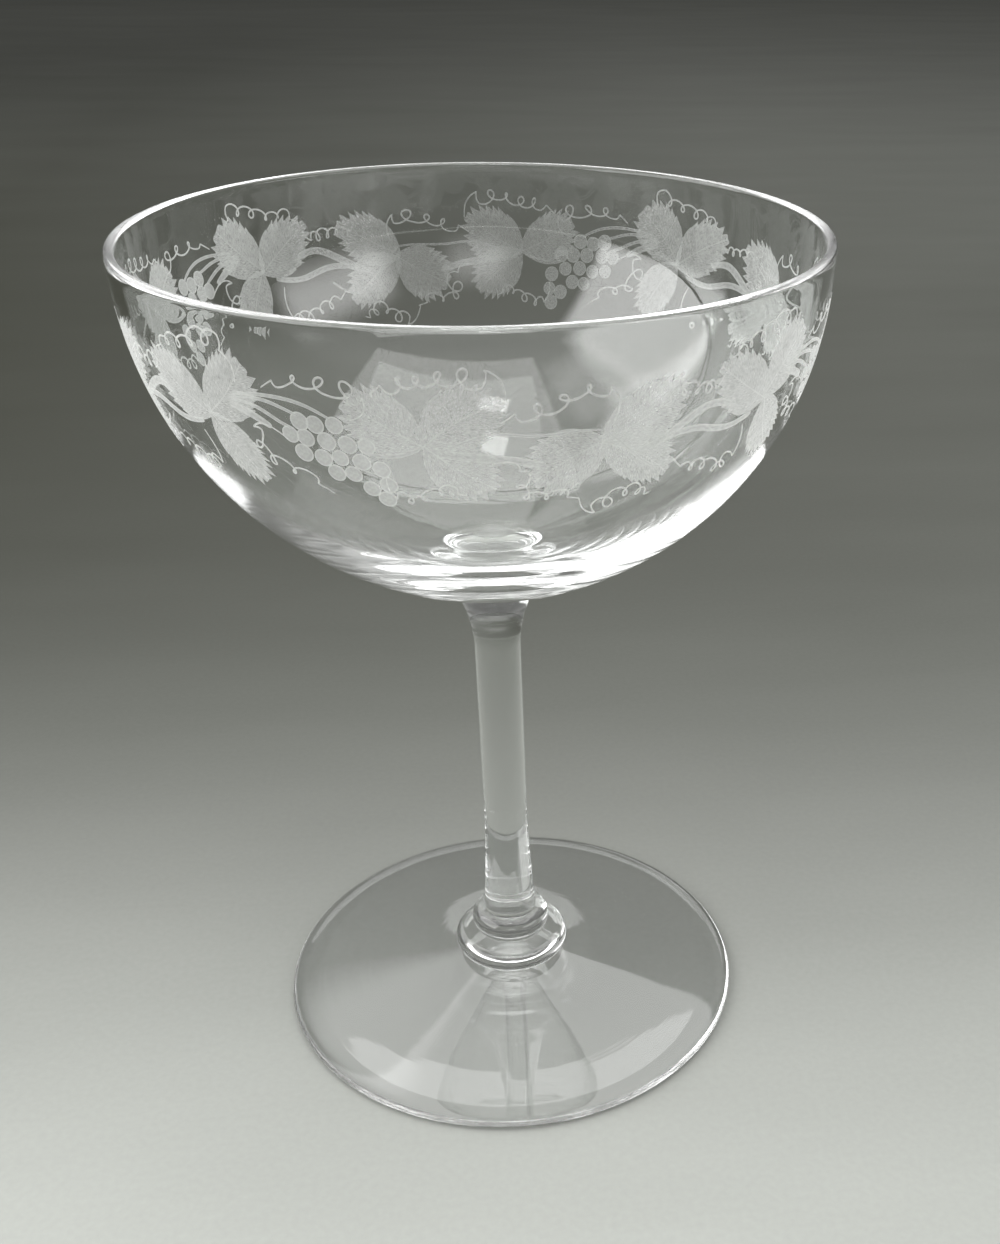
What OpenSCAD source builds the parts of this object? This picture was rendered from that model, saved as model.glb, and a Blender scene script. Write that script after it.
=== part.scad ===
// Coupe glass: a round blown bowl on a drawn stem, a round glass collar and a wide domed foot.
// Every piece is a solid of revolution about Z. The glass stands on Z = 0.

/* [Bowl] */
// Outer diameter of the lip
lip_d = 96; // [80:0.5:120]
// Height from the joint with the stem to the lip
bowl_h = 49.7; // [40:0.1:70]
// Thickness of the wall at the lip
lip_t = 1.4; // [1:0.1:2.5]
// Thickness of glass under the middle of the bowl
floor_t = 4.2; // [3:0.1:8]
// How full the wall is below the lip (2 is a circle)
wall_top_power = 2.24; // [2:0.01:2.6]
// How full the outer wall is near the stem (0.5 is a circle, and more is more pointed)
wall_low_power = 0.594; // [0.5:0.001:0.62]
// How much rounder the hollow is near its floor than the outside
hollow_rounding = 0.109; // [0.04:0.001:0.13]

/* [Stem] */
// Height of the stem between the collar and the bowl
stem_h = 70.8; // [50:0.1:110]
// Diameter of the stem at its waist
waist_d = 7.4; // [5:0.1:12]
// Diameter of the joint between stem and bowl
bowl_joint_d = 17.2; // [13:0.1:24]
// Height of the flare under the bowl
flare_h = 12; // [8:0.5:20]
// How late the flare opens (2 is a quarter circle)
flare_power = 1.55; // [1.3:0.01:2.5]
// Diameter of the stem just above its bead, and below it
stem_low_d = 9.4; // [8.2:0.1:12]
// Height over which the stem thins to its waist
taper_h = 22; // [10:0.5:30]
// How far the bead at the bottom of the stem stands out
bead_round = 2.25; // [1:0.05:3]
// Height of the bead
bead_h = 5; // [3:0.1:7]

/* [Collar] */
// Outer diameter of the collar
collar_d = 20.4; // [18:0.1:28]
// Height of the collar
collar_h = 3.8; // [2.5:0.1:6]
// How far the collar's round side stands out past its flat faces
collar_round = 1.9; // [1:0.1:2.5]

/* [Foot] */
// Outer diameter of the foot
foot_d = 82; // [66:0.5:100]
// Height of the foot at its middle
foot_h = 7; // [5.5:0.1:12]
// Thickness of the foot at its rim
foot_rim_t = 1.6; // [1:0.1:2.6]
// Flat glass left on top of the foot, round the collar's joint
land_w = 0.5; // [0.2:0.1:2]
// Distance from the rim in to the ground ring that touches the table
rest_inset = 2.5; // [1:0.1:6]
// Width of the ground ring
rest_w = 2; // [1:0.1:4]
// Rise of the hollow under the foot
foot_hollow = 1.8; // [0.5:0.1:3]
// How steeply the dome rises to its middle (1 is a cone)
dome_power = 1.3; // [1:0.05:2]

/* [Hidden] */

// Joint planes between the pieces, from the table up
collar_z = foot_h;
stem_z = collar_z + collar_h;
bowl_z = stem_z + stem_h;

// Radius of the joint faces between stem, collar and foot
stem_low_r = stem_low_d / 2;
collar_face_r = collar_d / 2 - collar_round;
bowl_joint_r = bowl_joint_d / 2;

// Steps along a long curve and along a short round edge
curve_steps = 40;
edge_steps = 12;
$fn = 180;

// Evenly spaced numbers up to 1: from 0, or from the first step where a curve goes on from another
function unit_steps(n, first = 0) = [for (i = [first : n]) i / n];

// Radius of a bowl wall at a share t of its height: 0 at the bottom, full at the lip
function wall_r(full_r, t, low_power) =
    full_r * pow(1 - pow(1 - t, wall_top_power), low_power);

// The share of the height at which a bowl wall has radius r
function wall_share(full_r, r, low_power) =
    1 - pow(1 - pow(r / full_r, 1 / low_power), 1 / wall_top_power);

// A half round bulge of height h that stands out by out from radius r
function bulge(r, out, h, n) =
    [for (s = unit_steps(n)) [r + out * sin(180 * s), h / 2 * (1 - cos(180 * s))]];

module revolved(outline) {
    rotate_extrude() polygon(outline);
}

// Bowl: thick solid floor, thin wall and a round lip
module bowl() {
    outer_r = lip_d / 2;
    inner_r = outer_r - lip_t;
    lip_r = lip_t / 2;
    wall_h = bowl_h - lip_r;
    low = wall_share(outer_r, bowl_joint_r, wall_low_power);
    outside = [
        for (s = unit_steps(curve_steps))
            let (share = low + (1 - low) * pow(s, 2))
                [wall_r(outer_r, share, wall_low_power), wall_h * (share - low) / (1 - low)]
    ];
    lip = [
        for (s = unit_steps(edge_steps, 1))
            [outer_r - lip_r * (1 - cos(180 * s)), wall_h + lip_r * sin(180 * s)]
    ];
    inside = [
        for (s = unit_steps(curve_steps, 1))
            let (share = pow(1 - s, 2))
                [
                    wall_r(inner_r, share, wall_low_power - hollow_rounding),
                    floor_t + (wall_h - floor_t) * share
                ]
    ];
    color([0.86, 0.90, 0.89, 0.45])
        translate([0, 0, bowl_z])
            revolved(concat([[0, 0]], outside, lip, inside));
}

// Stem: bead at the bottom, long taper to the waist, flare under the bowl
module stem() {
    waist_r = waist_d / 2;
    bead = bulge(stem_low_r, bead_round, bead_h, edge_steps);
    taper = [
        for (s = unit_steps(curve_steps, 1))
            [waist_r + (stem_low_r - waist_r) * pow(1 - s, 1.5), bead_h + taper_h * s]
    ];
    flare = [
        for (s = unit_steps(curve_steps))
            let (rise = sin(90 * s), open = 1 - pow(1 - pow(rise, flare_power), 1 / flare_power))
                [waist_r + (bowl_joint_r - waist_r) * open, stem_h - flare_h * (1 - rise)]
    ];
    color([0.80, 0.88, 0.90, 0.6])
        translate([0, 0, stem_z])
            revolved(concat([[0, 0]], bead, taper, flare, [[0, stem_h]]));
}

// Collar: a button of glass with a round side, pressed between stem and foot
module foot_collar() {
    side = bulge(collar_face_r, collar_round, collar_h, edge_steps * 2);
    color([0.78, 0.84, 0.86, 0.7])
        translate([0, 0, collar_z])
            revolved(concat([[0, 0]], side, [[0, collar_h]]));
}

// Foot: domed disc with a round rim, a narrow flat ring to stand on and a hollow inside that ring
module foot() {
    rim_r = foot_d / 2;
    half_t = foot_rim_t / 2;
    rest_r = rim_r - rest_inset;
    hollow_r = rest_r - rest_w;
    land_r = collar_face_r + land_w;
    dome_r = rim_r - half_t;
    hollow = [for (s = unit_steps(curve_steps)) [hollow_r * s, foot_hollow * (1 - pow(s, 2))]];
    under_rim = [
        for (s = unit_steps(edge_steps))
            [rest_r + rest_inset * sin(90 * s), half_t * (1 - cos(90 * s))]
    ];
    rim = [
        for (s = unit_steps(edge_steps, 1))
            [dome_r + half_t * cos(90 * s), half_t * (1 + sin(90 * s))]
    ];
    dome = [
        for (s = unit_steps(curve_steps, 1))
            [dome_r + (land_r - dome_r) * s, foot_rim_t + (foot_h - foot_rim_t) * pow(s, dome_power)]
    ];
    color([0.84, 0.88, 0.86, 0.5])
        revolved(concat(hollow, under_rim, rim, dome, [[0, foot_h]]));
}

bowl();
stem();
foot_collar();
foot();
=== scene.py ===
# %% [markdown]
# A coupe glass with an engraved vine band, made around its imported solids.
# The real glass is four gathers of clear glass fused hot: bowl, stem, collar and foot.
# Nearly all that the eye sees of it is bent and mirrored light, so the surfaces have to be
# perfectly smooth, closed and fused, and the lamps and the floor matter as much as the shape.
# Lengths are in millimetres in this script and become metres where a mesh is made.

# %% Load the solids and the tools
import math

import bpy
import numpy as np
from mathutils import Matrix, Vector


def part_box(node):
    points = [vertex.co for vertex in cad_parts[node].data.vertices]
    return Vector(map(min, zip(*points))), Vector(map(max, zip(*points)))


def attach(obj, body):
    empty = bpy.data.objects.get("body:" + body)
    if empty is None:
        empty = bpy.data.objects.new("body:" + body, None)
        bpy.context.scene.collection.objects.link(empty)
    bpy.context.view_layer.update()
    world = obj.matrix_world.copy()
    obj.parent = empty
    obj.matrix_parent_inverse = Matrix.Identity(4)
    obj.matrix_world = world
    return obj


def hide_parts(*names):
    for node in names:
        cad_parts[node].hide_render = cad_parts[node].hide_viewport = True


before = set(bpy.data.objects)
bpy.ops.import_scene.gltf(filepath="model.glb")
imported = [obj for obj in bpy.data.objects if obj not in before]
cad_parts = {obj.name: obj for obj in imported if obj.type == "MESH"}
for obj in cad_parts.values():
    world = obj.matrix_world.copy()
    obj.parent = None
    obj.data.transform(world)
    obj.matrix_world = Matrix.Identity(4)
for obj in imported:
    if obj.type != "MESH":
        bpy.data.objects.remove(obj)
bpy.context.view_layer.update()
MM = 0.001


def node_span(node):
    """Returns a node's outer radius, bottom and top in millimetres, read from the solids."""
    low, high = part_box(node)
    return (high.x - low.x) / 2 / MM, low.z / MM, high.z / MM


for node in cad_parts:
    print(node, "radius %.2f, from z %.2f to %.2f mm" % node_span(node))

# %% [markdown]
# The photograph was taken from above and in front of the glass and then cropped, so the middle
# of the lens isn't the middle of the picture. A camera shift reproduces such a crop:
# it slides the picture sideways and up without turning the camera, so verticals keep their lean.

# %% Camera
FRAME_W = 1000
FRAME_H = 1244
# Place in millimetres, angles in degrees, focal length and shift in pixels of the full picture
camera_y = -197.0
camera_z = 171.9
camera_yaw = 6.08
camera_pitch = 36.1
camera_roll = 0.81
focal_px = 1360.5
shift_px = (-124.4, 223.9)


def aim(yaw, pitch, roll):
    """Returns a rotation: turn right by yaw, look down by pitch, then roll clockwise, in degrees."""
    y, p, r = (math.radians(v) for v in (yaw, pitch, roll))
    forward = Vector((math.sin(y) * math.cos(p), math.cos(y) * math.cos(p), -math.sin(p)))
    right = Vector((math.cos(y), -math.sin(y), 0))
    up = right.cross(forward)
    across = math.cos(r) * right + math.sin(r) * up
    above = math.cos(r) * up - math.sin(r) * right
    return Matrix((across, above, -forward)).transposed()


camera = bpy.data.objects.new("camera", bpy.data.cameras.new("camera"))
bpy.context.scene.collection.objects.link(camera)
bpy.context.scene.camera = camera
camera.data.lens = focal_px / FRAME_H * camera.data.sensor_width
camera.data.shift_x = shift_px[0] / FRAME_H
camera.data.shift_y = shift_px[1] / FRAME_H
camera.data.clip_start = 10 * MM
camera.location = Vector((0, camera_y, camera_z)) * MM
camera.rotation_mode = "QUATERNION"
camera.rotation_quaternion = aim(camera_yaw, camera_pitch, camera_roll).to_quaternion()
print("lens %.1f mm, shift %.3f, %.3f" % (camera.data.lens, camera.data.shift_x, camera.data.shift_y))

# %% [markdown]
# A studio for glass is mostly paper: a sheet with painted light and shade, a painted pool of
# light in front and painted shade behind. Clear glass has no colour of its own, so it shows the
# sheet behind it, and the painted shade at the back lets the matt band and the bright lip stand
# out. The light and shade are painted on the paper and not made with a spotlight, so the object
# itself stays in plain, even light.

# %% Helpers for materials
STUDIO = bpy.data.collections.new("studio")
bpy.context.scene.collection.children.link(STUDIO)


def new_material(name):
    """Returns a material's empty node tree and its output node."""
    material = bpy.data.materials.new(name)
    material.use_nodes = True
    tree = material.node_tree
    tree.nodes.clear()
    return material, tree, tree.nodes.new("ShaderNodeOutputMaterial")


def add_node(tree, kind, **inputs):
    """Adds a shader node, gives values to the sockets named (spaces as underscores), links sockets."""
    made = tree.nodes.new("ShaderNode" + kind)
    for key, value in inputs.items():
        socket = made.inputs[key.replace("_", " ")]
        if isinstance(value, bpy.types.NodeSocket):
            tree.links.new(value, socket)
        else:
            socket.default_value = value
    return made


def add_math(tree, operation, a, b=0.0):
    """Adds one arithmetic step on two numbers or sockets and returns its result."""
    made = tree.nodes.new("ShaderNodeMath")
    made.operation = operation
    for socket, value in zip(made.inputs, (a, b)):
        if isinstance(value, bpy.types.NodeSocket):
            tree.links.new(value, socket)
        else:
            socket.default_value = value
    return made.outputs[0]


print("studio things go to the collection", STUDIO.name)

# %% Painted light and shade on the paper
# Painted light and shade on the paper: a painted pool of light in front, painted shade behind, lighter
# again far away
paper_painted_pool = 0.50
paper_painted_shade = 0.070
paper_painted_far_light = 0.18
# Where the painted pool of light turns to painted shade (mm behind the glass), and how softly
paper_middle = -5.0
paper_fade = 52.0
# How far from the glass the painted pool of light reaches, and how softly it ends
painted_pool_r = 430.0
painted_pool_fade = 70.0


def fade_out(tree, value, middle, fade):
    """A share that falls from 1 to 0 as a length grows: 1 / (1 + exp((value - middle) / fade))."""
    past = add_math(tree, "DIVIDE", add_math(tree, "SUBTRACT", value, middle * MM), fade * MM)
    return add_math(tree, "DIVIDE", 1.0, add_math(tree, "ADD", add_math(tree, "EXPONENT", past), 1.0))


def ramp(tree, value, lengths, results):
    """A straight ramp: from the first to the second result between two lengths in millimetres."""
    made = add_node(
        tree, "MapRange", Value=value, From_Min=lengths[0] * MM, From_Max=lengths[1] * MM,
        To_Min=results[0], To_Max=results[1])
    return made.outputs[0]


def paper_painted_light_and_shade(tree, place):
    """Painted light and shade = dark + (pale - dark) x fade(y) x fade(distance from the glass).

    So the paper has a painted pool of light in front and round about, and painted shade behind.
    It also paints the uneven light of a window far to one side: the painted shade lightens
    towards the right and far away, and the painted pool of light towards the left.
    """
    parts = add_node(tree, "SeparateXYZ", Vector=place).outputs
    distance = add_node(tree, "VectorMath", Vector=place)
    distance.operation = "LENGTH"
    away = distance.outputs["Value"]
    near = fade_out(tree, away, painted_pool_r, painted_pool_fade)
    front = fade_out(tree, parts["Y"], paper_middle, paper_fade)
    # Painted pool of light in front and round the glass, a little dimmer towards the right
    pale = add_math(tree, "MULTIPLY", add_math(tree, "MULTIPLY", front, near), paper_painted_pool - paper_painted_shade)
    pale = add_math(tree, "MULTIPLY", pale, ramp(tree, parts["X"], (-70, 100), (1.0, 0.86)))
    # Painted light of a window to one side: the painted shade lightens towards the right, less so far
    # away
    right = ramp(tree, parts["X"], (-280, 200), (-0.48, 0.24))
    beside = ramp(tree, away, (650, 1900), (1.0, 0.2))
    lean = add_math(tree, "ADD", add_math(tree, "MULTIPLY", right, beside), 1.0)
    # Painted shade behind, lighter far away
    dark = add_math(tree, "MULTIPLY", ramp(tree, away, (500, 1900), (paper_painted_shade, paper_painted_far_light)), lean)
    return add_math(tree, "ADD", pale, dark)


print("paper of %.2f in front and %.2f behind" % (paper_painted_pool, paper_painted_shade))

# %% [markdown]
# The sheet is one flat disc, so large that its edge shows neither in the picture nor in the
# glass. Real paper is never quite even: without soft clouds and a fine grain it would look like
# plastic.

# %% Floor
floor_r = 6000.0
floor_corners = 96
# Grain and clouds of the paper: size in mm, and how much each changes the shade
grain_mm = 1.2
grain_share = 0.12
cloud_mm = 45
cloud_share = 0.22


def floor_material():
    """Matt paper: painted light and shade x (0.83 + grain + clouds), where both noises are 0.5 on
    average.
    """
    material, tree, output = new_material("studio_paper")
    place = add_node(tree, "TexCoord").outputs["Object"]
    grain = add_node(tree, "TexNoise", Vector=place, Scale=1 / (grain_mm * MM), Detail=3.0)
    long_way = add_node(tree, "Mapping", Vector=place, Scale=(0.3, 1.0, 1.0))
    cloud = add_node(
        tree, "TexNoise", Vector=long_way.outputs[0], Scale=1 / (cloud_mm * MM), Detail=4.0)
    uneven = add_math(
        tree, "ADD", add_math(tree, "MULTIPLY", grain.outputs["Fac"], grain_share),
        add_math(tree, "MULTIPLY", cloud.outputs["Fac"], cloud_share))
    factor = add_math(tree, "ADD", uneven, 0.83)
    shade = add_math(tree, "MULTIPLY", paper_painted_light_and_shade(tree, place), factor)
    green = add_math(tree, "MULTIPLY", shade, 1.03)
    blue = add_math(tree, "SUBTRACT", add_math(tree, "MULTIPLY", shade, 0.98), 0.005)
    tint = add_node(tree, "CombineColor", Red=shade, Green=green, Blue=blue)
    paper = add_node(tree, "BsdfDiffuse", Color=tint.outputs["Color"])
    tree.links.new(paper.outputs[0], output.inputs["Surface"])
    return material


corner_angles = np.linspace(0, 2 * np.pi, floor_corners, endpoint=False)
floor_mesh = bpy.data.meshes.new("studio_floor")
floor_mesh.from_pydata(
    [(floor_r * MM * math.cos(a), floor_r * MM * math.sin(a), 0) for a in corner_angles],
    [], [list(range(floor_corners))])
floor = bpy.data.objects.new("studio_floor", floor_mesh)
STUDIO.objects.link(floor)
floor_mesh.materials.append(floor_material())
print("the sheet reaches %.0f m from the glass" % (floor_r * MM))

# %% [markdown]
# The air of the room is a dim sky that brightens upwards. It fills in the shadows a little and
# gives the sides of the glass something soft to mirror. Most of the light comes from lamps.

# %% World
ambient = 0.25
world = bpy.data.worlds.new("studio_air")
bpy.context.scene.world = world
world.use_nodes = True
air = world.node_tree
air.nodes.clear()
height = add_node(air, "SeparateXYZ", Vector=add_node(air, "TexCoord").outputs["Generated"]).outputs["Z"]
rise = add_node(air, "MapRange", Value=height, From_Min=0.1, From_Max=0.6, To_Min=0.1, To_Max=ambient)
rise.interpolation_type = "SMOOTHSTEP"
room = add_node(air, "Background", Color=(1, 1, 0.97, 1), Strength=rise.outputs[0])
air.links.new(room.outputs[0], add_node(air, "OutputWorld").inputs["Surface"])
print("sky of %.2f overhead" % ambient)

# %% [markdown]
# The edges and the lip of clear glass show whatever is bright round about, so the room is a part
# of the picture. Flat soft lamps stand for a ceiling window, a small lamp beside it, a sloping
# ceiling, pale walls and a sunlit table, each placed where the glass mirrors or bends it towards
# the camera. Their faces fade out at the edges, as a lit wall does, because a hard edge would be
# drawn sharply in every curve of the glass. The camera doesn't see the lamps themselves, but the
# glass does.

# %% Lamps


def softbox(name, place, target, size, brightness, soft=90):
    """Adds a flat soft lamp at place, facing target, with its width and height, all in millimetres.

    brightness is how the lamp itself would look, where 1 is white. A flat lamp spreads its
    power over its area and over half of all directions, so power = pi x brightness x area.
    It fades out over its outermost soft millimetres, as a lit wall does.
    """
    data = bpy.data.lights.new(name, "AREA")
    data.shape = "RECTANGLE"
    data.size, data.size_y = size[0] * MM, size[1] * MM
    data.energy = math.pi * brightness * data.size * data.size_y
    data.use_nodes = True
    tree = data.node_tree
    tree.nodes.clear()
    across = add_node(tree, "SeparateXYZ", Vector=add_node(tree, "NewGeometry").outputs["Parametric"])
    fades = []
    for axis, length in zip("XY", size):
        inward = add_math(tree, "SUBTRACT", 0.5, add_math(
            tree, "ABSOLUTE", add_math(tree, "SUBTRACT", across.outputs[axis], 0.5)))
        fade = add_node(tree, "MapRange", Value=inward, From_Min=0.0, From_Max=soft / length)
        fade.interpolation_type = "SMOOTHSTEP"
        fades.append(fade.outputs[0])
    glow = add_node(tree, "Emission", Strength=add_math(tree, "MULTIPLY", *fades))
    tree.links.new(glow.outputs[0], add_node(tree, "OutputLight").inputs["Surface"])
    lamp = bpy.data.objects.new(name, data)
    STUDIO.objects.link(lamp)
    lamp.location = Vector(place) * MM
    away = lamp.location - Vector(target) * MM
    lamp.rotation_mode = "QUATERNION"
    lamp.rotation_quaternion = away.to_track_quat("Z", "Y")
    lamp.visible_camera = False
    print("%s: %.2f W" % (name, data.energy))
    return lamp


# Name, place, what it faces, width and height, brightness, soft edge
softbox("ceiling_window", (190, 220, 900), (190, 220, 0), (935, 1300), 2.7, 30)
softbox("ceiling_lamp", (-30, -90, 880), (0, 0, 100), (130, 110), 8, 20)
softbox("left_wall", (-900, -200, 640), (0, 0, 240), (1350, 900), 3.8, 120)
softbox("left_back_wall", (-620, 480, 650), (0, 0, 120), (900, 950), 2.3, 120)
softbox("left_slope", (-560, -120, 1000), (0, 0, 100), (760, 560), 1.6, 150)
softbox("right_wall", (780, -450, 460), (0, 0, 260), (1000, 520), 3.0, 240)
softbox("front_wall", (20, -950, 440), (0, 0, 240), (560, 460), 1.6, 220)
softbox("sunlit_table", (0, -520, 3), (0, -520, 900), (1500, 700), 0.6, 200)

# %% [markdown]
# Each glass piece is a closed surface of revolution, so one function can make them all: it
# takes a profile of radii and heights and carries it round the axis. Where two pieces are
# fused the faces of both stay, because each piece is a closed solid, but those faces get a
# material that does nothing to light. What is left to bend light is the outside of the whole
# glass, as on the real one.

# %% Surface of revolution
AROUND = 288
CLOSE = 1e-4
crease_deg = 35


def put_in_mesh(name, points, faces):
    """Makes a mesh object from points in millimetres and faces as rows of point numbers."""
    mesh = bpy.data.meshes.new(name)
    mesh.from_pydata((np.asarray(points) * MM).tolist(), [], faces)
    mesh.polygons.foreach_set("use_smooth", np.ones(len(mesh.polygons), bool))
    mesh.set_sharp_from_angle(angle=math.radians(crease_deg))
    made = bpy.data.objects.new(name, mesh)
    bpy.context.scene.collection.objects.link(made)
    return made


def turned(name, profile, joints, glass, fused):
    """Carries a profile round Z: point(i, j) = (r_i cos a_j, r_i sin a_j, z_i).

    The profile starts on the axis and comes back to it, so its first and last points are single
    poles. joints lists the radius and the height of each fused joint: a flat face that lies at
    that height, inside that radius, gets the fused material.
    """
    r, z = np.asarray(profile, float).T
    angle = np.arange(AROUND) * 2 * np.pi / AROUND
    rings = np.stack([
        r[1:-1, None] * np.cos(angle),
        r[1:-1, None] * np.sin(angle),
        np.repeat(z[1:-1, None], AROUND, 1)], -1).reshape(-1, 3)
    points = np.concatenate([[[0, 0, z[0]]], rings, [[0, 0, z[-1]]]])
    near = 1 + np.arange(AROUND)
    past = 1 + (np.arange(AROUND) + 1) % AROUND
    lower = (np.arange(len(r) - 3) * AROUND)[:, None]
    quads = np.stack([near + lower, past + lower, past + lower + AROUND, near + lower + AROUND], -1)
    last = len(points) - 1
    top = (len(r) - 3) * AROUND
    start_fan = np.stack([np.zeros(AROUND, int), past, near], -1)
    end_fan = np.stack([np.full(AROUND, last), near + top, past + top], -1)
    faces = start_fan.tolist() + quads.reshape(-1, 4).tolist() + end_fan.tolist()
    made = put_in_mesh(name, points, faces)
    made.data.materials.append(glass)
    made.data.materials.append(fused)
    ring_of_face = np.repeat(np.arange(len(r) - 1), AROUND)
    on_joint = np.zeros(len(ring_of_face), np.int32)
    for joint_r, joint_z in joints:
        flat = (np.abs(z[:-1] - joint_z) < CLOSE) & (np.abs(z[1:] - joint_z) < CLOSE)
        inside = np.maximum(r[:-1], r[1:]) < joint_r + CLOSE
        on_joint |= (flat & inside)[ring_of_face]
    made.data.polygons.foreach_set("material_index", on_joint)
    print(name, len(faces), "faces,", int(on_joint.sum()), "of them fused")
    return made


print("each ring has", AROUND, "points")

# %% [markdown]
# The glass is colourless crystal, polished by the fire. One glass shader does nearly all of it:
# smooth, fully clear and with the index of crystal, which is a little over that of window
# glass. What makes it look hand-made is a bump of a few hundredths of a millimetre: slow waves
# left by blowing, and fine rings left by the tools. Lamplight isn't focused through the glass,
# which would need very many samples. It passes straight on to the paper, dimmed where the glass
# is steep or rounded, and that gives a soft, clean shadow.

# %% Glass
glass_index = 1.54


def lamps_pass(tree, shader, slant_dark, share=1.0):
    """Lets lamps' and bounced light pass straight through, and shows shader to every other ray.

    Less light passes where it meets the glass at a slant, so an edge has a darker shadow than
    a flat wall. share scales all that passes.
    """
    path = add_node(tree, "LightPath")
    either = add_math(tree, "MAXIMUM", path.outputs["Is Shadow Ray"], path.outputs["Is Diffuse Ray"])
    mixed = add_node(tree, "MixShader", Fac=either)
    slant = add_node(tree, "LayerWeight", Blend=0.5).outputs["Facing"]
    passed = add_node(
        tree, "MapRange", Value=slant, From_Min=0.2, From_Max=slant_dark, To_Min=0.96, To_Max=0.05)
    passed = add_math(tree, "MULTIPLY", passed.outputs[0], share)
    clear = add_node(tree, "BsdfTransparent", Color=passed)
    tree.links.new(shader, mixed.inputs[1])
    tree.links.new(clear.outputs[0], mixed.inputs[2])
    return mixed.outputs[0]


def glass_material(name, ripple, ripple_mm, ring, ring_mm, slant_dark=0.9, rim_mm=60.0):
    """Clear glass with the faint unevenness of hand work, as a low bump on a smooth surface.

    Height in mm = ripple x soft noise in space + ring x noise that depends mostly on the
    distance from the axis, as marks of a tool held against turning glass do. From the radius
    rim_mm on less light passes straight through, because a round rim is a lens that throws it
    elsewhere and leaves a dark line under itself.
    """
    material, tree, output = new_material(name)
    place = add_node(tree, "TexCoord").outputs["Object"]
    wave = add_node(tree, "TexNoise", Vector=place, Scale=1 / (ripple_mm * MM), Detail=1.0)
    parts = add_node(tree, "SeparateXYZ", Vector=place)
    flat = add_node(tree, "CombineXYZ", X=parts.outputs["X"], Y=parts.outputs["Y"])
    radius = add_node(tree, "VectorMath", Vector=flat.outputs[0])
    radius.operation = "LENGTH"
    angle = add_math(tree, "ARCTAN2", parts.outputs["Y"], parts.outputs["X"])
    across = add_math(tree, "DIVIDE", radius.outputs["Value"], ring_mm * MM)
    down = add_math(tree, "DIVIDE", parts.outputs["Z"], ring_mm * MM)
    rings = add_node(tree, "CombineXYZ", X=across, Y=down, Z=add_math(tree, "SINE", angle))
    marks = add_node(tree, "TexNoise", Vector=rings.outputs[0], Scale=1.0, Detail=2.0)
    height = add_math(
        tree, "ADD", add_math(tree, "MULTIPLY", wave.outputs["Fac"], ripple),
        add_math(tree, "MULTIPLY", marks.outputs["Fac"], ring))
    bump = add_node(tree, "Bump", Height=height, Strength=1.0, Distance=MM)
    glass = add_node(
        tree, "BsdfPrincipled", Base_Color=(0.985, 0.995, 0.988, 1), Roughness=0.0,
        IOR=glass_index, Transmission_Weight=1.0, Normal=bump.outputs["Normal"])
    share = ramp(tree, radius.outputs["Value"], (rim_mm - 1, rim_mm), (1.0, 0.4))
    seen = lamps_pass(tree, glass.outputs[0], slant_dark, share)
    tree.links.new(seen, output.inputs["Surface"])
    return material


def fused_material():
    """Does nothing to light: the two faces of a fused joint are one body of glass."""
    material, tree, output = new_material("fused_joint")
    clear = add_node(tree, "BsdfTransparent", Color=(1, 1, 1, 1))
    tree.links.new(clear.outputs[0], output.inputs["Surface"])
    return material


fused = fused_material()
bowl_glass = glass_material("bowl_glass", 0.03, 16.0, 0.003, 2.5)
stem_glass = glass_material("stem_glass", 0.012, 9.0, 0.003, 2.0)
foot_glass = glass_material("foot_glass", 0.06, 15.0, 0.012, 2.5, 0.7, 41.0)
print("glass with an index of %.2f" % glass_index)

# %% [markdown]
# The bowl is a superellipse turned about the axis: r = R (1 - (1 - t) ** a) ** b, where t runs
# from 0 at the bottom to 1 at the lip, a says how upright it is below the lip and b how pointed
# it is at the bottom. The hollow is the same curve with a smaller b, so the glass thickens
# towards a solid floor, where the heaviest bending of light happens.

# %% Bowl
lip_r, bowl_z, bowl_top = node_span("bowl")
bowl_h = bowl_top - bowl_z
lip_t = 1.4
floor_t = 4.2
wall_top_power = 2.24
wall_low_power = 0.594
hollow_rounding = 0.109
joint_r = node_span("stem")[0]
wall_steps = 90


def steps(n, first=0):
    """Evenly spaced numbers up to 1, as a whole array."""
    return np.arange(first, n + 1) / n


def wall_radius(full_r, share, low_power):
    """r = full_r (1 - (1 - share) ** a) ** low_power, the bowl's curve."""
    return full_r * (1 - (1 - share) ** wall_top_power) ** low_power


def bowl_profile():
    """Up the outside from the joint, over the half-round lip, down the hollow to its middle."""
    wall_h = bowl_h - lip_t / 2
    low = 1 - (1 - (joint_r / lip_r) ** (1 / wall_low_power)) ** (1 / wall_top_power)
    share = low + (1 - low) * steps(wall_steps) ** 2
    outside = np.stack([
        wall_radius(lip_r, share, wall_low_power),
        wall_h * (share - low) / (1 - low)], -1)
    turn = steps(16, 1) * np.pi
    lip = np.stack([
        lip_r - lip_t / 2 * (1 - np.cos(turn)),
        wall_h + lip_t / 2 * np.sin(turn)], -1)
    share = (1 - steps(wall_steps, 1)) ** 2
    inside = np.stack([
        wall_radius(lip_r - lip_t, share, wall_low_power - hollow_rounding),
        floor_t + (wall_h - floor_t) * share], -1)
    profile = np.concatenate([[[0, 0]], outside, lip, inside])
    profile[:, 1] += bowl_z
    return profile


bowl = turned("bowl_clear", bowl_profile(), [(joint_r, bowl_z)], bowl_glass, fused)
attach(bowl, "root")
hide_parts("bowl")

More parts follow.
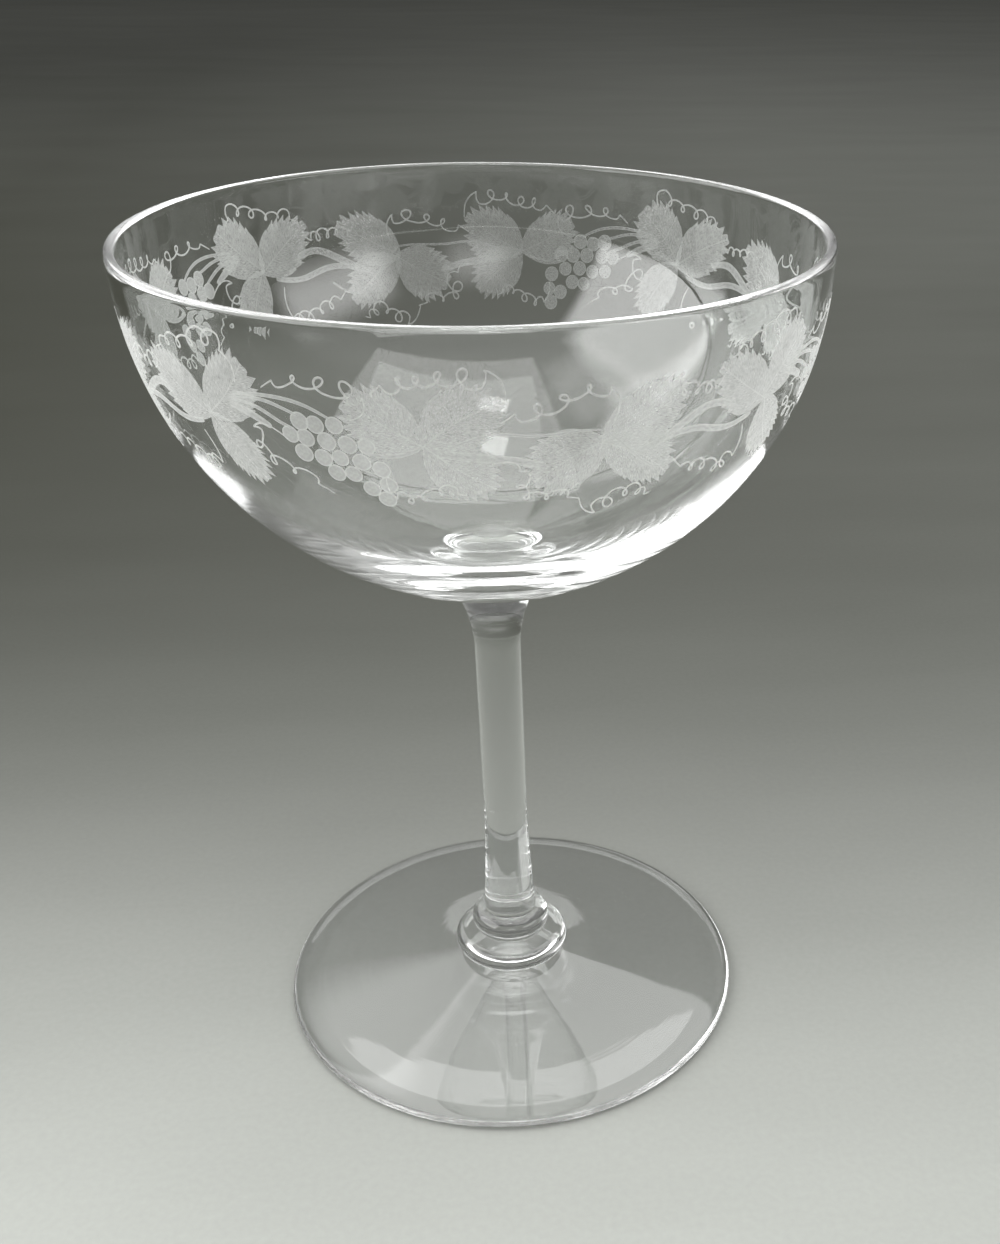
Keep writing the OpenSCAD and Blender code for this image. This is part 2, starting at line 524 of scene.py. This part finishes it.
# %% [markdown]
# The stem was drawn out of a hot gather with pincers while it turned, so it is thinnest in the
# middle and swells at both ends, with a bead pinched into it above the collar. Its profile is
# four simple curves in a row: bead, taper, shaft and flare. The last three run into each other
# in one direction, because a kink in clear glass shows as a hard line all the way round. Only
# the pinch above the bead is such a line on the real stem too.

# %% Stem
waist_r = 3.7
flare_h = 12.0
flare_power = 1.55
stem_low_r = 4.7
taper_h = 22.0
bead_round = 2.25
bead_h = 5.0
shaft_steps = 24
_, stem_z, stem_top = node_span("stem")


def bulge(r, out, h, n):
    """A half-round bulge: r + out sin(s), and h (1 - cos(s)) / 2 up, for s from 0 to half a turn."""
    s = steps(n) * np.pi
    return np.stack([r + out * np.sin(s), h / 2 * (1 - np.cos(s))], -1)


def stem_profile():
    """Bead, long taper, plain shaft, then a flare whose opening is 1 - (1 - u ** p) ** (1 / p)."""
    stem_h = stem_top - stem_z
    s = steps(60, 1)
    taper = np.stack([waist_r + (stem_low_r - waist_r) * (1 - s) ** 1.5, bead_h + taper_h * s], -1)
    rise = np.sin(steps(60) * np.pi / 2)
    opening = 1 - np.maximum(1 - rise ** flare_power, 0) ** (1 / flare_power)
    flare = np.stack([
        waist_r + (joint_r - waist_r) * opening,
        stem_h - flare_h * (1 - rise)], -1)
    shaft_top = stem_h - flare_h
    shaft = np.stack([
        np.full(shaft_steps - 1, waist_r),
        bead_h + taper_h + (shaft_top - bead_h - taper_h) * np.arange(1, shaft_steps) / shaft_steps],
        -1)
    profile = np.concatenate([
        [[0, 0]], bulge(stem_low_r, bead_round, bead_h, 32), taper, shaft, flare, [[0, stem_h]]])
    profile[:, 1] += stem_z
    return profile


stem = turned(
    "stem_clear", stem_profile(), [(stem_low_r, stem_z), (joint_r, stem_top)], stem_glass, fused)
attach(stem, "root")
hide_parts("stem")

# %% [markdown]
# The collar is a button of hot glass that was pressed flat between stem and foot, which is why
# its side bulges in a half round. A flattened ball would have no flat faces to meet the stem
# and the foot, so the collar is turned from its own profile, with a ring of points where the
# stem's bead sits.

# %% Collar
collar_round = 1.9
collar_r, collar_z, collar_top = node_span("foot_collar")
collar_face_r = 8.3


def collar_profile():
    """A flat face, a half-round side and a flat face, with a ring of points where the stem sits."""
    collar_h = collar_top - collar_z
    side = bulge(collar_face_r, collar_round, collar_h, 40)
    profile = np.concatenate([[[0, 0]], side, [[stem_low_r, collar_h], [0, collar_h]]])
    profile[:, 1] += collar_z
    return profile


collar = turned(
    "collar_clear", collar_profile(), [(collar_face_r, collar_z), (stem_low_r, collar_top)],
    stem_glass, fused)
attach(collar, "root")
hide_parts("foot_collar")

# %% [markdown]
# The foot was spun out of a gather between two wet boards, so it is thin, slightly domed and
# round at its rim. Underneath it is hollow except for a narrow ground ring, so that it stands
# on the ring and not on its middle. The hollow makes the foot a weak lens, which moves the
# paper's tones about, so it is modelled although nobody sees it directly.

# %% Foot
foot_r, _, foot_top = node_span("foot")
foot_rim_t = 1.6
land_w = 0.5
rest_inset = 2.5
rest_w = 2.0
foot_hollow = 1.8
dome_power = 1.3


def foot_profile():
    """Hollow underside, flat resting ring, round rim, dome, and a small flat land on top."""
    half_t = foot_rim_t / 2
    rest_r = foot_r - rest_inset
    land_r = collar_face_r + land_w
    dome_r = foot_r - half_t
    s = steps(60)
    hollow = np.stack([(rest_r - rest_w) * s, foot_hollow * (1 - s ** 2)], -1)
    quarter = steps(14) * np.pi / 2
    under = np.stack([rest_r + rest_inset * np.sin(quarter), half_t * (1 - np.cos(quarter))], -1)
    quarter = steps(14, 1) * np.pi / 2
    rim = np.stack([dome_r + half_t * np.cos(quarter), half_t * (1 + np.sin(quarter))], -1)
    s = steps(90, 1)
    dome = np.stack([
        dome_r + (land_r - dome_r) * s,
        foot_rim_t + (foot_top - foot_rim_t) * s ** dome_power], -1)
    return np.concatenate([hollow, under, rim, dome, [[collar_face_r, foot_top], [0, foot_top]]])


foot = turned("foot_clear", foot_profile(), [(collar_face_r, foot_top)], foot_glass, fused)
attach(foot, "root")
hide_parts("foot")

# %% [markdown]
# The band round the bowl is a fruiting vine, cut by hand with small copper wheels: leaves,
# bunches of grapes, stalks and curling tendrils, the same design four times round. A cut is a
# shallow matt place in the polished surface. It could be painted as a mask on the bowl, but
# thin plates that lie on the bowl keep their edges sharp at any distance, and can be placed by
# angle round the bowl and by length down its wall, the way the engraver would mark them out.

# %% The bowl's wall as a drawing surface
band_repeats = 4
# Where each repeat starts, in degrees round the axis
band_starts = 46.5 + np.arange(band_repeats) * 360 / band_repeats
# Millimetres below the lip where a degree of the drawing is as long as one on the glass
band_middle = 13
# How far the top and the bottom of a plate stand off the glass
cut_skin = 0.045
cut_gap = 0.006
wall_line = bowl_profile()[1:wall_steps + 2][::-1]
wall_run = np.concatenate([[0], np.cumsum(np.hypot(*np.diff(wall_line, axis=0).T))])
wall_slope = np.gradient(wall_line, wall_run, axis=0)
mm_per_deg = math.radians(np.interp(band_middle, wall_run, wall_line[:, 0]))
print("one degree round the band is %.3f mm" % mm_per_deg)


def on_bowl(turn_deg, below, lift):
    """Carries a point of the drawing to the bowl's outside.

    turn_deg is the angle round the axis, below the length down the wall from the lip, and lift
    the height over the glass, measured along the wall's outward normal (-dz, dr) / |(dr, dz)|.
    """
    r = np.interp(below, wall_run, wall_line[:, 0])
    z = np.interp(below, wall_run, wall_line[:, 1])
    out_r = -np.interp(below, wall_run, wall_slope[:, 1])
    out_z = np.interp(below, wall_run, wall_slope[:, 0])
    size = np.hypot(out_r, out_z)
    far = r + lift * out_r / size
    angle = np.radians(turn_deg)
    return np.stack([far * np.cos(angle), far * np.sin(angle), z + lift * out_z / size], -1)


def spot(turn_deg, below):
    """A place in the drawing as flat millimetres: x round the band, y down the wall."""
    return np.array([turn_deg, below]) * [mm_per_deg, 1]


def plates(name, flat, marks, material):
    """Turns flat grids into thin closed plates on the bowl.

    flat is an array (plates, along, across, 2) in flat millimetres, and marks the same size,
    kept as the texture coordinates. Each plate is a flattened tube: over its face from one
    edge to the other and back underneath, with both ends closed by quads.
    """
    count, along, across, _ = flat.shape
    turn_deg = flat[..., 0] / mm_per_deg
    face = on_bowl(turn_deg, flat[..., 1], cut_skin)
    under = on_bowl(turn_deg, flat[..., 1], cut_gap)[:, :, ::-1]
    loops = np.concatenate([face, under], 2)
    girth = 2 * across
    number = np.arange(count * along * girth).reshape(count, along, girth)
    following = np.roll(number, -1, 2)
    sides = np.stack([number[:, :-1], number[:, 1:], following[:, 1:], following[:, :-1]], -1)
    half = number[:, :, :across]
    other = number[:, :, across:][:, :, ::-1]
    first = np.stack([half[:, 0, :-1], half[:, 0, 1:], other[:, 0, 1:], other[:, 0, :-1]], -1)
    last = np.stack([half[:, -1, 1:], half[:, -1, :-1], other[:, -1, :-1], other[:, -1, 1:]], -1)
    faces = np.concatenate([q.reshape(-1, 4) for q in (sides, first, last)])
    made = put_in_mesh(name, loops.reshape(-1, 3), faces.tolist())
    both = np.concatenate([marks, marks[:, :, ::-1]], 2).reshape(-1, 2)
    layer = made.data.uv_layers.new(name="cut")
    layer.data.foreach_set("uv", both[faces.ravel()].ravel())
    made.data.materials.append(material)
    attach(made, "root")
    print(name, count, "plates,", len(faces), "faces")
    return made


# %% [markdown]
# A cut is thousands of tiny chips, which scatter light. Seen closely it is partly white and
# partly clear, so each matt material shares light out between a white scatter and plain
# clearness. The share follows the engraver's strokes: along the side veins of a leaf, round the
# rim of a grape, along both edges of a vine.

# %% Frosted cuts
frost_white = (0.93, 0.94, 0.925, 1)
# The part of the scattered light that goes through the cut and not back
frost_through = 0.45
print("%.0f%% of the frost's scatter goes through" % (100 * frost_through))


def mix_in(tree, value, gain, offset):
    """Returns value x gain + offset."""
    made = add_math(tree, "MULTIPLY_ADD", value, gain)
    made.node.inputs[2].default_value = offset
    return made


def frost_material(name, cover):
    """Matt cut glass: part white scatter, part clear, shared out by cover(tree, u, v).

    Ground glass sends light both back and through, so the scatter is about half diffuse and
    half translucent. cover gets the two texture coordinates and returns the opaque share, which
    grows where the cut is seen at a slant.
    """
    material, tree, output = new_material(name)
    mark = add_node(tree, "UVMap")
    mark.uv_map = "cut"
    parts = add_node(tree, "SeparateXYZ", Vector=mark.outputs["UV"])
    slant = add_math(tree, "MULTIPLY", add_node(tree, "LayerWeight", Blend=0.5).outputs["Facing"], 1.7)
    share = cover(tree, parts.outputs["X"], parts.outputs["Y"])
    share = add_math(tree, "MULTIPLY", share, add_math(tree, "ADD", slant, 0.85))
    back = add_node(tree, "BsdfDiffuse", Color=frost_white)
    through = add_node(tree, "BsdfTranslucent", Color=frost_white)
    scatter = add_node(tree, "MixShader", Fac=frost_through)
    tree.links.new(back.outputs[0], scatter.inputs[1])
    tree.links.new(through.outputs[0], scatter.inputs[2])
    clear = add_node(tree, "BsdfTransparent", Color=(1, 1, 1, 1))
    mixed = add_node(tree, "MixShader", Fac=share)
    tree.links.new(clear.outputs[0], mixed.inputs[1])
    tree.links.new(scatter.outputs[0], mixed.inputs[2])
    tree.links.new(mixed.outputs[0], output.inputs["Surface"])
    return material


def noise_at(tree, x, y, scale, detail):
    """Soft noise between 0 and 1 at a place given as two sockets."""
    place = add_node(tree, "CombineXYZ", X=x, Y=y)
    noise = add_node(tree, "TexNoise", Vector=place.outputs[0], Scale=scale, Detail=detail)
    return noise.outputs["Fac"]


def leaf_cover(tree, u, v):
    """Strokes run with the side veins: a vein is a line where along - 1.1 |across| stays the same."""
    side = add_math(tree, "ABSOLUTE", v)
    vein = add_math(tree, "SUBTRACT", u, add_math(tree, "MULTIPLY", side, 1.1))
    strokes = noise_at(tree, add_math(tree, "MULTIPLY", vein, 9.0), side, 2.2, 3.0)
    patches = noise_at(tree, u, v, 0.6, 2.0)
    rib = add_math(tree, "LESS_THAN", side, 0.09)
    share = mix_in(tree, strokes, 1.1, -0.36)
    share = add_math(tree, "ADD", share, add_math(tree, "MULTIPLY", patches, 0.18))
    share = add_math(tree, "ADD", share, add_math(tree, "MULTIPLY", rib, 0.08))
    return add_math(tree, "MINIMUM", add_math(tree, "MAXIMUM", share, 0.08), 0.6)


def grape_cover(tree, u, v):
    """Matt all over, and whiter in a ring from 0.86 of the radius on, whose square is 0.74."""
    radius = add_math(tree, "ADD", add_math(tree, "MULTIPLY", u, u), add_math(tree, "MULTIPLY", v, v))
    grain = noise_at(tree, u, v, 3.0, 2.0)
    rim = add_math(tree, "GREATER_THAN", radius, 0.74)
    share = mix_in(tree, rim, 0.08, 0.2)
    return add_math(tree, "ADD", share, add_math(tree, "MULTIPLY", grain, 0.16))


def vine_cover(tree, u, v):
    """A vine is cut with two strokes, so its edges are whiter than its middle."""
    edge = add_math(tree, "MULTIPLY", v, v)
    grain = noise_at(tree, u, v, 1.5, 2.0)
    share = mix_in(tree, edge, 0.1, 0.12)
    return add_math(tree, "ADD", share, add_math(tree, "MULTIPLY", grain, 0.28))


def tendril_cover(tree, u, v):
    """A tendril is one light stroke of a thin wheel, pressed harder here and there."""
    press = noise_at(tree, u, v, 0.9, 1.0)
    return mix_in(tree, press, 0.7, 0.05)


# %% [markdown]
# A vine leaf on such a glass is a plain wedge with a toothed far edge, cut with one wheel held
# at a slant. It is a grid of points: along the midrib, and from one edge to the other. The
# teeth move the points of the edge only a little forward and outward, so the grid never folds.
# Each repeat draws its own small differences from one list of random numbers, because no two
# leaves cut by hand are alike.

# %% Leaves
chance = np.random.default_rng(7)
leaf_steps = 84
leaf_across = 9
leaf_teeth = 11
tooth_size = 0.85
# Each leaf of one repeat: base and tip (degrees from the band's start, mm below the lip), width in
# mm, and how pointed it is
leaves = [
    ((-0.2, 12.4), (9.2, 5.2), 7.4, 0.7),
    ((0.4, 12.6), (-11.6, 7.0), 7.6, 0.95),
    ((0.2, 12.2), (6.8, 20.4), 6.8, 0.8),
    ((34.4, 12.9), (45.6, 7.2), 7.6, 0.95),
    ((34.8, 12.8), (24.8, 8.2), 7.2, 0.75),
    ((34.6, 12.6), (43.8, 18.8), 7.2, 0.85),
    ((59.6, 13.0), (72.2, 7.4), 7.4, 0.95),
    ((60.6, 12.8), (50.2, 17.8), 8.0, 0.75),
    ((59.8, 13.2), (71.4, 19.2), 6.8, 0.85),
]


def leaf_grid(base, tip, width, point, bend, teeth):
    """One leaf: half width = outline(s) (1 + teeth), along a midrib that bends to one side.

    The outline s ** 0.85 (1 - s) ** point, taken over its greatest value, starts as a wedge and
    ends blunt or pointed. The teeth are a saw on the far half of the leaf, which pushes the
    edge outwards and towards the tip and lets it drop back sharply.
    """
    s = np.linspace(0, 1, leaf_steps)
    line = tip - base
    length = np.hypot(*line)
    forward = line / length
    sideways = np.array([-forward[1], forward[0]])
    outline = s ** 0.85 * (1 - s) ** point
    outline /= outline.max()
    saw = (s * teeth) % 1
    bite = np.clip((s - 0.4) / 0.15, 0, 1) * np.clip((1 - s) / 0.06, 0, 1)
    half = np.maximum(width / 2 * outline + tooth_size * bite * (saw - 0.55), 0.05)
    across = np.linspace(-1, 1, leaf_across)
    middle = base + s[:, None] * line + bend * np.sin(np.pi * s)[:, None] * sideways
    reach = half[:, None] * across
    lean = 1.5 * tooth_size * (bite * saw)[:, None] * np.abs(across) ** 3
    grid = middle[:, None] + reach[..., None] * sideways + lean[..., None] * forward
    marks = np.stack(np.broadcast_arrays(s[:, None] * length + lean, reach), -1)
    return grid, marks


def all_leaves():
    """Every leaf of the band, with each repeat a little different, as handwork is."""
    grids = []
    for start in band_starts:
        for base, tip, width, point in leaves:
            wander = chance.normal(0, 0.25, 2)
            grids.append(leaf_grid(
                spot(start + base[0], base[1]),
                spot(start + tip[0], tip[1]) + wander,
                width * chance.uniform(0.94, 1.06),
                point,
                chance.uniform(-0.7, 0.7),
                leaf_teeth + chance.integers(-1, 2)))
    return (np.stack(part) for part in zip(*grids))


plates("engraved_leaves", *all_leaves(), frost_material("frost_leaf", leaf_cover))

# %% [markdown]
# A grape is one touch of a round-edged wheel, so it is a small disc, matt all over and whitest
# at its rim. A bunch is a list of places, each moved a tenth of a millimetre or so by chance.

# %% Grapes
grape_r = 1.15
grape_steps = 19
grape_across = 7
grapes = [
    (15.1, 12.7), (17.1, 10.7), (17.4, 12.8), (19.6, 11.0), (22.3, 10.9), (20.6, 12.9),
    (23.7, 13.0), (16.4, 15.1), (19.3, 15.2), (22.1, 15.0), (20.9, 17.2), (23.5, 17.1),
    (25.9, 18.9), (28.6, 18.3), (27.9, 20.4), (25.3, 15.3), (28.2, 16.1), (26.4, 13.2),
]


def grape_grid(centre, radius):
    """A disc: rows at x = sin(a), each as wide as cos(a), so the rows crowd at the ends."""
    a = np.linspace(-np.pi / 2, np.pi / 2, grape_steps)
    across = np.linspace(-1, 1, grape_across)
    half = np.maximum(np.cos(a), 0.03)
    unit = np.stack(np.broadcast_arrays(np.sin(a)[:, None], half[:, None] * across), -1)
    return centre + radius * unit, unit


def all_grapes():
    """Every grape of the band, each a little off its place and off its size."""
    grids = []
    for start in band_starts:
        for place in grapes:
            centre = spot(start + place[0], place[1]) + chance.normal(0, 0.08, 2)
            grids.append(grape_grid(centre, grape_r * chance.uniform(0.9, 1.04)))
    return (np.stack(part) for part in zip(*grids))


plates("engraved_grapes", *all_grapes(), frost_material("frost_grape", grape_cover))

# %% [markdown]
# A vine or a stalk is a narrow strip along a smooth line. The line could go exactly through its
# points, but then it would swing from one to the next. A B-spline only follows them loosely and
# never kinks, so it looks like the line of a steady hand that guides a glass under the wheel.

# %% Vines and stalks


def smooth_route(points, count):
    """A smooth curve drawn by the points, at count even steps of its parameter.

    Between p1 and p2, with neighbours p0 and p3, it is the cubic B-spline
    ((1 - t)^3 p0 + (3 t^3 - 6 t^2 + 4) p1 + (1 + 3 t + 3 t^2 - 3 t^3) p2 + t^3 p3) / 6.
    """
    p = np.concatenate([[2 * points[0] - points[1]], points, [2 * points[-1] - points[-2]]])
    at = np.linspace(0, len(points) - 1, count)
    i = np.minimum(at.astype(int), len(points) - 2)
    t = (at - i)[:, None]
    early = (1 - t) ** 3 * p[i] + (3 * t ** 3 - 6 * t ** 2 + 4) * p[i + 1]
    late = (1 + 3 * t + 3 * t ** 2 - 3 * t ** 3) * p[i + 2] + t ** 3 * p[i + 3]
    return (early + late) / 6


def ribbon(route, width, across):
    """A strip of the given width along a route, thinner towards its ends."""
    ahead = np.gradient(route, axis=0)
    ahead /= np.hypot(*ahead.T)[:, None]
    sideways = np.stack([-ahead[:, 1], ahead[:, 0]], -1)
    run = np.concatenate([[0], np.cumsum(np.hypot(*np.diff(route, axis=0).T))])
    share = run / run[-1]
    half = width / 2 * (0.45 + 0.55 * np.sin(np.pi * np.clip(share, 0, 1)) ** 0.35)
    side = np.linspace(-1, 1, across)
    grid = route[:, None] + (half[:, None] * side)[..., None] * sideways[:, None]
    marks = np.stack(np.broadcast_arrays(run[:, None], side), -1)
    return grid, marks


vine_steps = 48
# Each vine or stalk of one repeat: width in mm, then its route (degrees, mm below the lip)
vines = [
    (1.1, [(-8.6, 11.4), (-12.9, 10.3), (-17.5, 12.6), (-23.0, 14.8)]),
    (0.9, [(-2.6, 13.9), (-8.5, 15.0), (-13.5, 13.3), (-18.8, 13.5), (-24.0, 14.9)]),
    (1.0, [(5.2, 10.2), (8.6, 10.8), (12.0, 12.2)]),
    (0.5, [(5.0, 9.6), (9.8, 9.6), (13.6, 11.3), (15.3, 11.8)]),
    (0.45, [(5.6, 9.2), (11.2, 8.8), (15.2, 9.8), (17.0, 10.2)]),
    (0.45, [(6.2, 8.8), (12.6, 8.0), (18.0, 8.5), (21.8, 10.2)]),
    (0.6, [(26.4, 14.0), (30.0, 14.5), (33.8, 13.2)]),
    (1.1, [(35.4, 13.4), (42.4, 14.1), (47.5, 14.6), (51.5, 15.6)]),
    (0.35, [(36.6, 13.4), (44.3, 10.6), (49.2, 11.9), (56.8, 11.3), (60.0, 11.6)]),
    (0.35, [(60.0, 11.6), (63.5, 14.0), (68.0, 18.0), (71.9, 18.1), (75.0, 15.8)]),
]


def all_ribbons(drawn, steps_each, across, wobble):
    """Strips for every entry of a list, in each repeat of the band."""
    grids = []
    for start in band_starts:
        for width, points in drawn:
            places = np.array([spot(start + a, b) for a, b in points])
            places = places + chance.normal(0, wobble, places.shape)
            grids.append(ribbon(smooth_route(places, steps_each), width, across))
    return (np.stack(part) for part in zip(*grids))


plates(
    "engraved_vines", *all_ribbons(vines, vine_steps, 5, 0.08),
    frost_material("frost_vine", vine_cover))

# %% [markdown]
# A tendril is a single thin stroke that curls into a row of loops. The loops come from one
# formula: while the line moves on, a point on it goes round in circles. Where the circle goes
# back faster than the line moves on, the line crosses itself and makes a loop.

# %% Tendrils
tendril_w = 0.25
tendril_steps = 150
# Shares of a tendril's route: the plain hook at its start, and the part with loops after it
hook = 0.3
curled = 0.62
# Each tendril of one repeat: loops, loop size in mm (under 0 for loops below the line), then its
# route (degrees, mm below the lip)
tendrils = [
    (5, 0.85, [
        (7.2, 7.2), (7.6, 5.2), (5.2, 3.6), (1.5, 4.0), (-3.0, 5.4), (-6.6, 5.0), (-10.0, 6.2)]),
    (4, 0.75, [
        (-10.6, 7.6), (-11.2, 8.8), (-13.0, 9.4), (-15.8, 9.2), (-18.4, 8.6), (-21.4, 9.8)]),
    (4, -0.9, [
        (24.8, 10.0), (27.2, 9.2), (27.4, 6.6), (24.2, 4.8), (19.4, 5.6), (15.8, 5.2), (12.0, 7.4)]),
    (4, 0.85, [
        (14.2, 13.4), (11.0, 11.6), (7.6, 12.6), (7.8, 16.0), (11.0, 18.4), (15.0, 18.4), (19.2, 20.2)]),
    (5, 0.95, [
        (-3.8, 15.2), (-2.6, 17.6), (-3.4, 20.6), (-6.6, 22.0), (-11.0, 19.8), (-14.0, 20.2),
        (-17.4, 17.4)]),
    (4, -0.85, [
        (-28.6, 10.6), (-27.6, 8.4), (-29.6, 6.0), (-33.6, 5.8), (-38.0, 7.6), (-41.0, 7.8),
        (-44.6, 9.8)]),
    (4, 0.9, [
        (-45.8, 15.0), (-42.8, 14.4), (-41.4, 16.4), (-43.4, 18.8), (-40.2, 21.0), (-36.6, 20.0),
        (-33.0, 20.8)]),
    (4, 0.9, [
        (-33.0, 20.8), (-32.0, 23.2), (-29.2, 24.2), (-26.6, 22.6), (-24.4, 20.8), (-22.4, 22.4),
        (-20.4, 21.8)]),
    (5, -0.85, [
        (46.0, 7.4), (46.0, 5.0), (43.0, 3.2), (38.6, 3.6), (34.6, 4.6), (31.0, 4.4), (27.8, 6.8)]),
    (4, 0.75, [
        (28.4, 17.4), (28.4, 19.6), (30.6, 21.4), (34.0, 20.8), (37.0, 18.8), (39.8, 19.6)]),
]


def curl(points, loops, size):
    """A route with loops: a hook first, then loops that get smaller, then a plain tail.

    The place is route - a sin(q) ahead + h (1 - cos(q)) sideways. q turns loops times round
    after the hook, h is the size, and a is 2.5 times the length that the route gains in one
    radian of q, so that every loop closes. Both change a little from one half loop to the next.
    A positive size puts the loops above the route.
    """
    route = smooth_route(points, tendril_steps)
    ahead = np.gradient(route, axis=0)
    gain = np.hypot(*ahead.T)[:, None]
    ahead /= gain
    sideways = np.stack([ahead[:, 1], -ahead[:, 0]], -1) * np.sign(ahead[:, :1].sum())
    share = np.clip((np.linspace(0, 1, tendril_steps) - hook) / curled, 0, 1)
    turn = 2 * np.pi * loops * share
    hand = np.interp(share, np.linspace(0, 1, 2 * loops), chance.uniform(0.6, 1.25, 2 * loops))
    swell = np.clip(4 * np.sin(np.pi * share), 0, 1) * (1.15 - 0.4 * share) * hand
    back = 2.5 * gain[:, 0] * curled * tendril_steps / (2 * np.pi * loops) * swell * np.sin(turn)
    rise = size * swell * (1 - np.cos(turn))
    return route - back[:, None] * ahead + rise[:, None] * sideways


def all_tendrils():
    """Every tendril of the band, each with its route and its loops a little uneven."""
    grids = []
    for start in band_starts:
        for loops, size, points in tendrils:
            places = np.array([spot(start + a, b) for a, b in points])
            places = places + chance.normal(0, 0.1, places.shape)
            grids.append(ribbon(curl(places, loops, size), tendril_w, 2))
    return (np.stack(part) for part in zip(*grids))


plates("engraved_tendrils", *all_tendrils(), frost_material("frost_tendril", tendril_cover))

# %% [markdown]
# Light has to be followed through many surfaces of clear glass before it reaches the paper, and
# a round lip carries it on by mirroring inside, so the limits on bounces are raised: with low
# limits the lip turns black. The picture is shown without any film curve.

# %% Settings and the end
scene = bpy.context.scene
scene.view_settings.view_transform = "Standard"
bounces = 400
scene.cycles.max_bounces = bounces
scene.cycles.transmission_bounces = bounces
scene.cycles.glossy_bounces = bounces
scene.cycles.transparent_max_bounces = bounces
